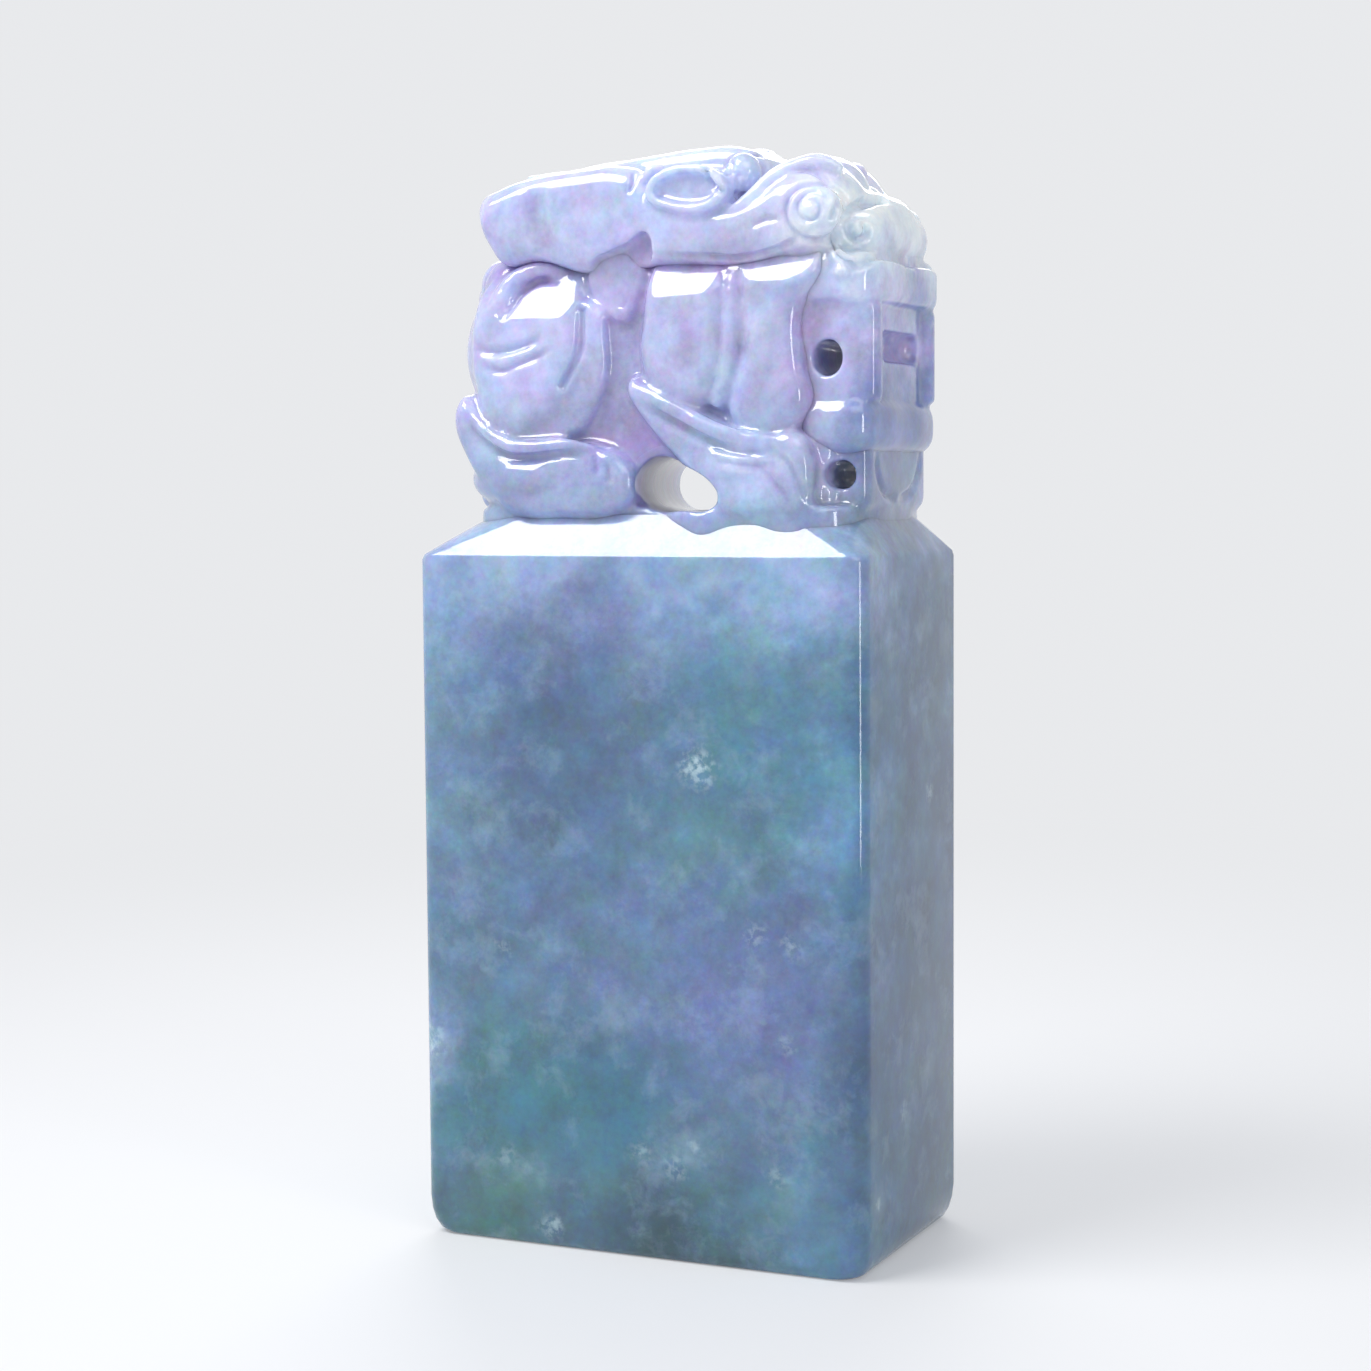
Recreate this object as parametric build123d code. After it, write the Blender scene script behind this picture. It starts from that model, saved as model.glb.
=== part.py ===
from build123d import *
import os

# A seal of polished jadeite: an upright oblong block whose underside is the seal face, with a crouching
# beast carved over it as the knob. The beast looks along +X, with its right flank towards -Y.
# Origin at the centre of the seal face, +Z up, millimetres.

# The block
block_width = 26.5
block_depth = 15.0
block_height = 38.3
corner_radius = 1.0
face_edge_radius = 0.8
# The shoulder that rises from the block to the ground under the feet
shoulder_rise = 2.0
end_slope_run = 1.95
side_slope_run = 0.75
shoulder_edge_radius = 0.6

# The blank of the knob, set in a little from the block, before its forms are carved
knob_height = 19.8
knob_end_inset = 0.05
knob_side_inset = 0.2
knob_plan_radius = 4.2
relief_depth = 2.1

# The trunk between the legs, and the tail on its rump
trunk_plan_radius = 3.4
tail_depth = 4.8
tail_height = 9.4
tail_bar_radius = 2.6
# The hollow drilled on a slant under the belly
hollow_diameter_share = 0.1495
hollow_tip_share = 0.0657
hollow_spread_share = 0.2038
hollow_drop_share = 0.0404
hollow_slant = 14.2
# The round recess in the flank
flank_pit_diameter = 2.7
flank_pit_depth = 1.3

# The legs
haunch_reach_share = 0.2394
shoulder_reach_share = 0.2303
foot_reach_share = 0.2525
fore_foot_pitch = 27.0

# The neck, swollen to both sides
neck_inset = 0.4
neck_dome_share = 0.3636

# The mane that lies along the back
roof_radius = 13.0
mane_rise = 4.0
mane_cheek_radius = 3.4
# The knot of hair on top
knot_depth = 5.6
knot_bar_radius = 4.0

# The head
skull_inset = 0.5
skull_cheek_radius = 3.6
brow_diameter_share = 0.2475
brow_lift = 0.2
brow_dome_radius = 9.5
eye_diameter = 2.6
eye_lift = 0.3
pupil_diameter = 1.0
eye_groove = 0.2
nose_diameter = 3.5
nose_length = 8.5
nose_end_radius = 4.6
nose_tip_diameter = 3.9
nose_tip_lead = 0.1
nostril_diameter = 1.0
nostril_depth = 0.7
lip_inset = 1.9
lip_rounding = 0.35
jaw_rounding = 0.6
mouth_inset = 2.7
mouth_wall = 1.8
mouth_slot_height = 1.8
mouth_slot_past = 0.3
mouth_hole_diameter = 1.8
fang_diameter = 1.6
fang_lift = 0.3
beard_inset = 2.7
beard_hole_diameter = 1.7
# The ears, each a small dished oval
ear_length_share = 0.362
ear_width_share = 0.146
ear_thickness = 1.3
ear_wall = 0.4
ear_dish = 0.5
ear_tilt = 42.0

# One overrun for all cuts, and the least length that counts
overrun = 1.0
tiny = 0.001

# Levels and halves that follow from the sizes above
half_width = block_width / 2
knob_width = block_width - 2 * knob_end_inset
knob_depth = block_depth - 2 * knob_side_inset
half_depth = knob_depth / 2
ground = block_height + shoulder_rise
crown = ground + knob_height
core = half_depth - relief_depth
outward = -Axis.Y.direction

# Side outlines as shares of the half width (along X) and of the knob's height (above the ground).
# Those of the tail, legs and neck are closed runs of arcs: start, a place on the arc, next start and so on.
trunk_shares = ((-0.83, 0.0), (-0.91, 0.14), (-0.91, 0.50), (-0.76, 0.682), (0.392, 0.682), (0.392, 0.219),
                (0.745, 0.219), (0.745, 0.0))
tail_shares = ((-0.880, 0.170), (-0.978, 0.290), (-0.975, 0.480), (-0.945, 0.580), (-0.880, 0.625),
               (-0.835, 0.500), (-0.845, 0.350), (-0.850, 0.250))
haunch_shares = ((-0.800, 0.330), (-0.855, 0.480), (-0.735, 0.635), (-0.483, 0.678), (-0.262, 0.601),
                 (-0.201, 0.449), (-0.290, 0.268), (-0.543, 0.202))
hind_foot_shares = ((-0.958, 0.323), (-0.935, 0.190), (-0.830, 0.081), (-0.740, 0.030), (-0.634, 0.0),
                    (-0.380, -0.010), (-0.121, 0.0), (-0.015, 0.070), (-0.060, 0.165), (-0.270, 0.205),
                    (-0.498, 0.212), (-0.690, 0.243), (-0.833, 0.325), (-0.895, 0.340))
shoulder_shares = ((0.008, 0.409), (0.000, 0.540), (0.068, 0.667), (0.226, 0.682), (0.362, 0.641),
                   (0.385, 0.490), (0.347, 0.333), (0.166, 0.303))
fore_foot_shares = ((-0.045, 0.364), (0.035, 0.378), (0.120, 0.350), (0.260, 0.290), (0.445, 0.227),
                    (0.570, 0.214), (0.690, 0.205), (0.750, 0.110), (0.702, 0.0), (0.550, -0.010),
                    (0.392, 0.0), (0.290, 0.052), (0.204, 0.111), (0.060, 0.212))
neck_shares = ((0.385, 0.330), (0.380, 0.500), (0.415, 0.640), (0.540, 0.688), (0.670, 0.665), (0.722, 0.590),
               (0.732, 0.450), (0.715, 0.310), (0.640, 0.228), (0.500, 0.222))
mane_shares = ((-0.815, 0.808), (-0.740, 0.697), (-0.528, 0.682), (0.075, 0.682), (0.075, 0.975),
               (-0.302, 0.960), (-0.649, 0.925), (-0.775, 0.884))
skull_shares = ((0.075, 0.682), (0.715, 0.682), (0.868, 0.690), (0.868, 0.830), (0.823, 0.874),
                (0.770, 0.939), (0.634, 0.975), (0.498, 0.949), (0.400, 0.895), (0.075, 0.935))
knot_shares = ((-0.649, 0.900), (-0.649, 0.950), (-0.257, 0.982), (0.375, 1.0), (0.405, 0.900))
lip_shares = ((0.715, 0.551), (0.715, 0.682), (0.900, 0.691), (0.995, 0.700), (1.000, 0.640), (0.958, 0.551))
jaw_shares = ((0.715, 0.300), (0.951, 0.300), (1.000, 0.263), (0.981, 0.197), (0.898, 0.157), (0.715, 0.157))
mouth_shares = ((0.715, 0.300), (0.715, 0.551), (0.958, 0.551), (0.958, 0.300))
beard_shares = ((0.745, 0.0), (0.745, 0.157), (0.885, 0.157), (0.868, 0.070), (0.890, 0.0))

# Places of single features, as shares of the half width and of the knob's height
hollow_shares = (0.105, 0.083)
flank_pit_shares = (-0.140, 0.640)
haunch_centre_shares = (-0.520, 0.450)
shoulder_centre_shares = (0.190, 0.500)
neck_centre_shares = (0.570, 0.455)
hind_foot_centre_share = 0.11
tail_middle_share = 0.390
fore_foot_centre_shares = (0.400, 0.185)
mane_side_share = 0.800
brow_shares = (0.690, 0.848)
eye_shares = (0.765, 0.795)
nose_shares = (0.845, 0.768)
nostril_shares = (0.880, 0.785)
mouth_hole_shares = (0.785, 0.405)
mouth_slot_share = 0.430
beard_hole_shares = (0.765, 0.095)
ear_shares = (0.232, 0.872)
ear_side_share = 0.84


def along(share):
    """Place along the seal's width."""
    return share * half_width


def above(share):
    """Height over the ground."""
    return ground + share * knob_height


def side_outline(shares, rounding):
    """Face of a straight-sided outline with rounded corners, standing in the X-Z plane."""
    face = Polygon([(along(x), above(z)) for x, z in shares], align=None)
    if rounding > 0:
        face = fillet(face.vertices(), rounding)
    return Plane.XZ * face


def arc_outline(shares):
    """Face inside a closed run of arcs in the X-Z plane."""
    places = [(along(x), above(z)) for x, z in shares]
    starts = places[0::2]
    ends = starts[1:] + starts[:1]
    arcs = [ThreePointArc(*three) for three in zip(starts, places[1::2], ends)]
    return Plane.XZ * make_face(arcs)


def to_right(face, inner, outer):
    """Solid of a side outline from one depth to another on the right flank."""
    return Pos(0, -inner, 0) * extrude(face, amount=outer - inner, dir=outward)


def across(face, depth):
    """Solid of a side outline over a depth centred on the seal."""
    return Pos(0, depth / 2, 0) * extrude(face, amount=depth, dir=outward)


def drilled(x, z, diameter, inner, outer):
    """Round bore into the right flank between two depths."""
    return Pos(along(x), 0, above(z)) * to_right(Plane.XZ * Circle(diameter / 2), inner, outer)


def dome(x, z, radius, top):
    """Ball whose crown stands at a depth on the right flank."""
    return Pos(along(x), radius - top, above(z)) * Sphere(radius)


def lying_bar(radius, top, share, pitch):
    """Round bar along the right flank, its crest at a depth, pitched down towards the front."""
    bar = Rot(0, 90 + pitch, 0) * Cylinder(radius, 2 * block_width)
    return Pos(0, radius - top, above(share)) * bar


def plan_block(width, depth, radius):
    """Upright blank with rounded corners in plan, over the whole height of the knob."""
    plan = RectangleRounded(width, depth, radius)
    return Pos(0, 0, ground) * extrude(plan, amount=knob_height)


def swell(reach_share):
    """Radius of a dome or bar that runs out into the trunk at a reach from its crest."""
    reach = reach_share * knob_height
    return (reach ** 2 + relief_depth ** 2) / (2 * relief_depth)


def left_of(form):
    """The same form on the beast's left flank."""
    return mirror(form, about=Plane.XZ)


def loaf(depth, radius):
    """Long bar across the view, flat within and round along both sides, that rises towards the brow."""
    round_side = lying_bar(radius, depth / 2, mane_side_share, -mane_rise)
    flat = Rectangle(2 * block_width, depth - 2 * radius)
    middle = Pos(0, 0, ground) * extrude(flat, amount=knob_height)
    return middle + round_side + left_of(round_side)


def block_outline(width, slope_run):
    """Outline of the block from one side, rounded at its foot and sloped at its shoulder."""
    half = width / 2
    rise = [(half, 0), (half, block_height), (half - slope_run, ground)]
    fall = [(-x, z) for x, z in reversed(rise)]
    face = Polygon(rise + fall, align=None)
    face = fillet(face.vertices().filter_by_position(Axis.Y, -tiny, tiny), face_edge_radius)
    edge = face.vertices().filter_by_position(Axis.Y, block_height - tiny, block_height + tiny)
    return fillet(edge, shoulder_edge_radius)


knob_blank = plan_block(knob_width, knob_depth, knob_plan_radius)

# The block with its sloped shoulder: the plan, the front outline and the side outline swept and met
seal_block = extrude(RectangleRounded(block_width, block_depth, corner_radius), amount=ground)
seal_block = seal_block & across(Plane.XZ * block_outline(block_width, end_slope_run), 2 * block_depth)
side_sweep = extrude(Plane.YZ * block_outline(block_depth, side_slope_run), amount=block_width, both=True)
seal_block = seal_block & side_sweep

# The slanted hollow under the belly: two bores that run together into a drop
wide_bore = Circle(hollow_diameter_share * knob_height / 2)
tip_bore = Circle(hollow_tip_share * knob_height / 2)
tip_bore = Pos(hollow_spread_share * half_width, -hollow_drop_share * knob_height) * tip_bore
drop_face = Plane.XZ * make_hull((wide_bore + tip_bore).edges())
hollow = Pos(0, half_depth, 0) * extrude(drop_face, amount=2 * block_depth, both=True)
hollow = Rot(0, 0, hollow_slant) * hollow
hollow = Pos(along(hollow_shares[0]), -half_depth, above(hollow_shares[1])) * hollow

# The trunk
trunk = across(side_outline(trunk_shares, 0), 2 * core)
trunk = trunk & plan_block(-2 * along(trunk_shares[1][0]), 2 * core, trunk_plan_radius)
flank_pit = drilled(*flank_pit_shares, flank_pit_diameter, core - flank_pit_depth, core + overrun)
beard_hole = drilled(*beard_hole_shares, beard_hole_diameter, -knob_depth, knob_depth)
trunk = trunk - hollow - flank_pit - left_of(flank_pit) - beard_hole

# The tail, a lock laid up against the rump
tail_bar = Cylinder(tail_bar_radius, 2 * knob_height)
tail_bar = Pos(along(tail_shares[1][0]) + tail_bar_radius, 0, ground) * tail_bar
tail_lock = Plane.YZ * SlotOverall(tail_height, tail_depth, rotation=90)
tail_lock = extrude(tail_lock, amount=block_width, dir=(1, 0, 0))
tail_lock = Pos(-block_width, 0, above(tail_middle_share)) * tail_lock
tail = across(arc_outline(tail_shares), tail_depth) & tail_bar & tail_lock
tail = tail - trunk

# A hind leg: the swollen haunch over a long foot with a tuft at the hock
haunch = to_right(arc_outline(haunch_shares), core, half_depth)
haunch = haunch & dome(*haunch_centre_shares, swell(haunch_reach_share), half_depth)
hind_foot = to_right(arc_outline(hind_foot_shares), core, half_depth)
hind_foot = hind_foot & lying_bar(swell(foot_reach_share), half_depth, hind_foot_centre_share, 0)
hind_leg = (haunch + hind_foot) & knob_blank
right_hind_leg = hind_leg - hollow
left_hind_leg = left_of(hind_leg) - hollow

# A fore leg: the shoulder over a foot with a tuft at the elbow
shoulder = to_right(arc_outline(shoulder_shares), core, half_depth)
shoulder = shoulder & dome(*shoulder_centre_shares, swell(shoulder_reach_share), half_depth)
fore_foot = to_right(arc_outline(fore_foot_shares), core, half_depth)
fore_foot_bar = lying_bar(swell(foot_reach_share), half_depth, fore_foot_centre_shares[1], fore_foot_pitch)
fore_foot = fore_foot & Pos(along(fore_foot_centre_shares[0]), 0, 0) * fore_foot_bar
fore_leg = (shoulder + fore_foot) & knob_blank
right_fore_leg = fore_leg - hollow
left_fore_leg = left_of(fore_leg) - hollow
legs = [right_hind_leg, left_hind_leg, right_fore_leg, left_fore_leg]

# The roof line of mane and head, a shallow vault that rises towards the brow
vault = Rot(0, 90 - mane_rise, 0) * Cylinder(roof_radius, 2 * block_width)
vault = Pos(0, 0, crown - roof_radius) * vault

# The neck
neck_depth = knob_depth - 2 * neck_inset
neck_half = to_right(arc_outline(neck_shares), 0, neck_depth / 2)
neck_half = neck_half & dome(*neck_centre_shares, neck_dome_share * knob_height, neck_depth / 2)
neck = neck_half + left_of(neck_half)
mouth_hole = drilled(*mouth_hole_shares, mouth_hole_diameter, -knob_depth, knob_depth)
neck = neck - [trunk, right_fore_leg, left_fore_leg, mouth_hole]


def ear_oval(inset, bottom, top):
    """Upright oval of the ear drawn in by an inset, between two heights over its floor."""
    length = ear_length_share * half_width
    width = ear_width_share * knob_height
    oval = SlotOverall(length - 2 * inset, width - 2 * inset)
    placed = Pos(0, 0, bottom) * extrude(oval, amount=top - bottom)
    ear_place = Pos(along(ear_shares[0]), -ear_side_share * half_depth, above(ear_shares[1]))
    return ear_place * Rot(ear_tilt, 0, 0) * placed


# The ears, dished ovals tilted out from the head
ear_room = ear_oval(0, 0, ear_thickness + overrun)
ear_hollow = ear_oval(ear_wall, ear_thickness - ear_dish, ear_thickness + overrun)
right_ear = (ear_oval(0, 0, ear_thickness) - ear_hollow) & knob_blank
left_ear = left_of(right_ear)

# The mane, with a swollen cheek along each side
mane = across(side_outline(mane_shares, 0), knob_depth) & loaf(knob_depth, mane_cheek_radius)
mane = mane & knob_blank & vault
mane = mane - legs - ear_room - left_of(ear_room)

# The knot of hair
knot_bar = Rot(0, 90, 0) * Cylinder(knot_bar_radius, 2 * block_width)
knot_bar = Pos(0, 0, crown - knot_bar_radius) * knot_bar
knot = (across(side_outline(knot_shares, 0), knot_depth) & knot_bar) - mane

# The brow, a roll across the head with an eye at each end
skull_depth = knob_depth - 2 * skull_inset
brow_half = skull_depth / 2 + brow_lift
brow = drilled(*brow_shares, brow_diameter_share * knob_height, -brow_half, brow_half)
brow_dome = dome(*brow_shares, brow_dome_radius, brow_half)
brow = brow & brow_dome & left_of(brow_dome) & knob_blank
eye_top = brow_half + eye_lift
right_eye = drilled(*eye_shares, eye_diameter, brow_half - eye_lift, eye_top)
eye_ring_cut = drilled(*eye_shares, eye_diameter - 2 * eye_groove, eye_top - eye_groove, eye_top)
eye_ring_cut -= drilled(*eye_shares, pupil_diameter, eye_top - eye_groove, eye_top)
right_eye = right_eye - eye_ring_cut
left_eye = left_of(right_eye)
brow = brow - [right_eye, left_eye, knot]

# The lip and the jaw
lip = across(side_outline(lip_shares, lip_rounding), knob_depth - 2 * lip_inset) & knob_blank
lip = lip - neck
jaw = across(side_outline(jaw_shares, jaw_rounding), 2 * core) & knob_blank
jaw = jaw - [neck, trunk]

# The mouth between them, with a slot that runs into the hole from side to side
mouth_depth = knob_depth - 2 * mouth_inset
mouth = across(side_outline(mouth_shares, 0), mouth_depth) & knob_blank
mouth_front = along(mouth_shares[2][0])
slot_end = along(mouth_hole_shares[0]) - mouth_slot_past
slot = Plane.YZ * SlotOverall(mouth_depth - 2 * mouth_wall, mouth_slot_height)
slot = extrude(slot, amount=mouth_front + overrun - slot_end, dir=(1, 0, 0))
slot = Pos(slot_end, 0, above(mouth_slot_share)) * slot
mouth = mouth - slot - mouth_hole - neck

# The fangs at the corners of the mouth
fang_base = above(mouth_shares[0][1])
fang_height = above(mouth_shares[1][1]) - fang_base
fang_x = mouth_front + fang_lift - fang_diameter / 2
fang_y = mouth_depth / 2 + fang_lift - fang_diameter / 2
right_fang = Pos(fang_x, -fang_y, fang_base) * extrude(Circle(fang_diameter / 2), amount=fang_height)
left_fang = left_of(right_fang)
mouth = mouth - [right_fang, left_fang]

# The beard under the jaw
beard = across(side_outline(beard_shares, 0), knob_depth - 2 * beard_inset) & knob_blank
beard = beard - [beard_hole, right_fore_leg, left_fore_leg]

# The skull behind and under the brow
skull = across(side_outline(skull_shares, 0), skull_depth) & loaf(skull_depth, skull_cheek_radius)
skull = skull & knob_blank & vault
skull = skull - [neck, knot, brow, right_eye, left_eye, lip, ear_room, left_of(ear_room)] - legs

# The nose: a bar with rounded ends and a tip before it, with a nostril in each side
nose_ends = Pos(along(nose_shares[0]), nose_end_radius - nose_length / 2, 0)
nose_ends = nose_ends * extrude(Circle(nose_end_radius), amount=2 * crown)
nose = drilled(*nose_shares, nose_diameter, -nose_length / 2, nose_length / 2)
nose = nose & nose_ends & left_of(nose_ends)
nose_tip = Pos(along(nose_shares[0]) + nose_tip_lead, 0, above(nose_shares[1])) * Sphere(nose_tip_diameter / 2)
nostril_base = nose_length / 2 - nostril_depth
nostril = drilled(*nostril_shares, nostril_diameter, nostril_base, nose_length)
nose = (nose + nose_tip) & knob_blank
nose = nose - [skull, brow, lip, nostril, left_of(nostril)]

os.makedirs("parts", exist_ok=True)
nodes = {
    "seal_block": seal_block,
    "trunk": trunk,
    "tail": tail,
    "right_hind_leg": right_hind_leg,
    "left_hind_leg": left_hind_leg,
    "right_fore_leg": right_fore_leg,
    "left_fore_leg": left_fore_leg,
    "neck": neck,
    "mane": mane,
    "hair_knot": knot,
    "skull": skull,
    "brow": brow,
    "right_eye": right_eye,
    "left_eye": left_eye,
    "right_ear": right_ear,
    "left_ear": left_ear,
    "nose": nose,
    "lip": lip,
    "mouth": mouth,
    "right_fang": right_fang,
    "left_fang": left_fang,
    "jaw": jaw,
    "beard": beard,
}
for name, form in nodes.items():
    form.label = name
    export_step(form, "parts/" + name + ".step")
    print(name, round(form.volume, 2), len(form.solids()))
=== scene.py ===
# Seal stamp of polished jadeite: a smooth block under a pierced beast knob.
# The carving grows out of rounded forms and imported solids, gets its lines, and is polished.
import math

import bpy
import numpy as np
from mathutils import Matrix, Vector
from mathutils.bvhtree import BVHTree


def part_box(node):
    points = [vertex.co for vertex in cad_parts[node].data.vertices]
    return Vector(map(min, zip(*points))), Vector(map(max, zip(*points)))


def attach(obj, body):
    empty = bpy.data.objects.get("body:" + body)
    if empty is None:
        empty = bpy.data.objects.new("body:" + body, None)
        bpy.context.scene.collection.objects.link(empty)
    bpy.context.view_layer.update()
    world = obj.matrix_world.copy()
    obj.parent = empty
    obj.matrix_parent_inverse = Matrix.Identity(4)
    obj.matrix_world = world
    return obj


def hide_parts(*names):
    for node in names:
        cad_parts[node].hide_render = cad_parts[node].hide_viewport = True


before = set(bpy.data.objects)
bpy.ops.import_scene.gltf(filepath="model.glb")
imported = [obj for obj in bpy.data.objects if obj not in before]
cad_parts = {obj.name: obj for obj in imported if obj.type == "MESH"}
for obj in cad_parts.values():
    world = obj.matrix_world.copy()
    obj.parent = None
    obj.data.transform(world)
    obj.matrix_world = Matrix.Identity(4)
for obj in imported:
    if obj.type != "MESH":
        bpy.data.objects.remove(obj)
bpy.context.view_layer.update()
mm = 0.001
print("stage: frame loaded")

# Shared by all forms: the reach of doubles, how finely edges are drawn, and the carved lines' step and ends
shaping = dict(
    mergeReach=0.0005,
    outlineSteps=8,
    outlineEdge=5,
    barSteps=10,
    polishFactor=0.5,
    barEdge=4,
    pillowEdge=8,
    ballSegments=48,
    ballRings=24,
    lineStep=0.08,
    lineFade=0.25,
    bluntFactor=4,
)


def activePiece():
    return bpy.context.view_layer.objects.active


def selectOnly(*pieces):
    bpy.ops.object.select_all(action="DESELECT")
    for piece in pieces:
        piece.hide_set(False)
        piece.select_set(True)
    bpy.context.view_layer.objects.active = pieces[0]


# Edit-mode steps on the whole of the active mesh
def editAll(*steps):
    bpy.ops.object.mode_set(mode="EDIT")
    bpy.ops.mesh.select_all(action="SELECT")
    for step in steps:
        step()
    bpy.ops.object.mode_set(mode="OBJECT")


def mergeDoubles():
    bpy.ops.mesh.remove_doubles(threshold=shaping["mergeReach"] * mm)


def faceOutwards():
    bpy.ops.mesh.normals_make_consistent(inside=False)


def applyModifier(piece, kind, **values):
    selectOnly(piece)
    modifier = piece.modifiers.new(kind.title(), kind)
    for key, value in values.items():
        setattr(modifier, key, value)
    bpy.ops.object.modifier_apply(modifier=modifier.name)


def settlePlace(piece):
    selectOnly(piece)
    bpy.ops.object.transform_apply(location=True, rotation=True, scale=True)


def joinPieces(pieces, name):
    selectOnly(*pieces)
    if len(pieces) > 1:
        bpy.ops.object.join()
    joined = activePiece()
    joined.name = name
    joined.data.name = name
    return joined


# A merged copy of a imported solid, free of the frame
def roughOut(nodeName):
    selectOnly(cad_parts[nodeName])
    bpy.ops.object.duplicate()
    copied = activePiece()
    copied.parent = None
    for key in list(copied.keys()):
        del copied[key]
    copied.data.materials.clear()
    editAll(mergeDoubles)
    return copied


# The same form on the left flank
def mirrored(piece):
    selectOnly(piece)
    bpy.ops.object.duplicate()
    copied = activePiece()
    copied.scale = (1, -1, 1)
    settlePlace(copied)
    editAll(faceOutwards)
    return copied


# Lays a curve's smooth points at places in mm
def bendThrough(shape, places):
    points = shape.splines[0].bezier_points
    points.add(len(places) - len(points))
    for point, place in zip(points, places):
        point.co = [c * mm for c in place]
        point.handle_left_type = point.handle_right_type = "AUTO"
    return points


# A cushion-like form with rounded edges, lying flat, cut to an outline in mm
def flatForm(name, outline, thickness, rounding):
    bpy.ops.object.select_all(action="DESELECT")
    bpy.ops.curve.primitive_bezier_circle_add(radius=mm)
    curve = activePiece()
    curve.name = name
    shape = curve.data
    shape.dimensions = "2D"
    shape.fill_mode = "BOTH"
    shape.resolution_u = shaping["outlineSteps"]
    bendThrough(shape, [(a, b, 0) for a, b in outline])
    shape.offset = -rounding * mm
    shape.bevel_depth = rounding * mm
    shape.bevel_resolution = shaping["outlineEdge"]
    shape.extrude = (thickness / 2 - rounding) * mm
    bpy.ops.object.convert(target="MESH")
    return activePiece()


# The form stands upright on the right flank: outline (x, z), from the inner to the outer depth
def outlineForm(name, outline, inner, outer, rounding):
    form = flatForm(name, outline, outer - inner, rounding)
    form.rotation_euler = (math.pi / 2, 0, 0)
    form.location = (0, -(inner + outer) / 2 * mm, 0)
    settlePlace(form)
    editAll(mergeDoubles, faceOutwards)
    return form


# The form lies across both flanks: half an outline (x, y), from the back to the middle of the front
def planForm(name, outline, bottom, top, rounding):
    whole = outline + [(x, -y) for x, y in reversed(outline[:-1])]
    form = flatForm(name, whole, top - bottom, rounding)
    form.location = (0, 0, (bottom + top) / 2 * mm)
    settlePlace(form)
    editAll(mergeDoubles, faceOutwards)
    return form


# A box with rounded edges between two corners
def pillow(low, high, rounding):
    bpy.ops.object.select_all(action="DESELECT")
    bpy.ops.mesh.primitive_cube_add(size=1)
    form = activePiece()
    form.scale = [(b - a) * mm for a, b in zip(low, high)]
    form.location = [(a + b) / 2 * mm for a, b in zip(low, high)]
    settlePlace(form)
    editAll(lambda: bpy.ops.mesh.bevel(offset=rounding * mm, segments=shaping["pillowEdge"]))
    return form


# A flattened ball
def swelling(name, centre, radii):
    bpy.ops.object.select_all(action="DESELECT")
    bpy.ops.mesh.primitive_uv_sphere_add(radius=1, segments=shaping["ballSegments"],
                                         ring_count=shaping["ballRings"])
    ball = activePiece()
    ball.name = name
    ball.scale = [r * mm for r in radii]
    ball.location = [c * mm for c in centre]
    settlePlace(ball)
    return ball


# A round bar through places, each with its own radius
def taperedBar(name, places, radii):
    bpy.ops.object.select_all(action="DESELECT")
    bpy.ops.curve.primitive_bezier_curve_add(radius=mm)
    curve = activePiece()
    curve.name = name
    shape = curve.data
    shape.resolution_u = shaping["barSteps"]
    shape.bevel_depth = mm
    shape.bevel_resolution = shaping["barEdge"]
    shape.use_fill_caps = True
    for point, radius in zip(bendThrough(shape, places), radii):
        point.radius = radius
    bpy.ops.object.convert(target="MESH")
    editAll(faceOutwards)
    return activePiece()


def cutWith(piece, cutter):
    applyModifier(piece, "BOOLEAN", operation="DIFFERENCE", object=cutter, solver="EXACT")
    bpy.data.objects.remove(cutter)


# Grows all forms of a piece into one skin, then polishes it
def growSkin(piece, voxel, passes):
    applyModifier(piece, "REMESH", mode="VOXEL", voxel_size=voxel * mm)
    applyModifier(piece, "SMOOTH", factor=shaping["polishFactor"], iterations=passes)


# Places along the smooth curve through the given ones
def smoothRun(places):
    ends = [places[0]] + list(places) + [places[-1]]
    run = []
    for before, a, b, after in zip(ends, ends[1:], ends[2:], ends[3:]):
        before, a, b, after = (np.array(p, float) for p in (before, a, b, after))
        count = max(2, int(np.linalg.norm(b - a) / shaping["lineStep"]))
        for share in np.arange(count) / count:
            square = share ** 2
            cube = share ** 3
            run.append(0.5 * (2 * a + (b - before) * share + (2 * before - 5 * a + 4 * b - after) * square
                              + (3 * a - before - 3 * b + after) * cube))
    run.append(np.array(places[-1], float))
    return np.array(run)


def spiral(centre, outer, inner, turns, count=40):
    steps = np.arange(count + 1) / count
    radii = outer + (inner - outer) * steps
    angles = 2 * math.pi * turns * steps
    return [(centre[0] + r * math.cos(a), centre[1] + r * math.sin(a)) for r, a in zip(radii, angles)]


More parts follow.
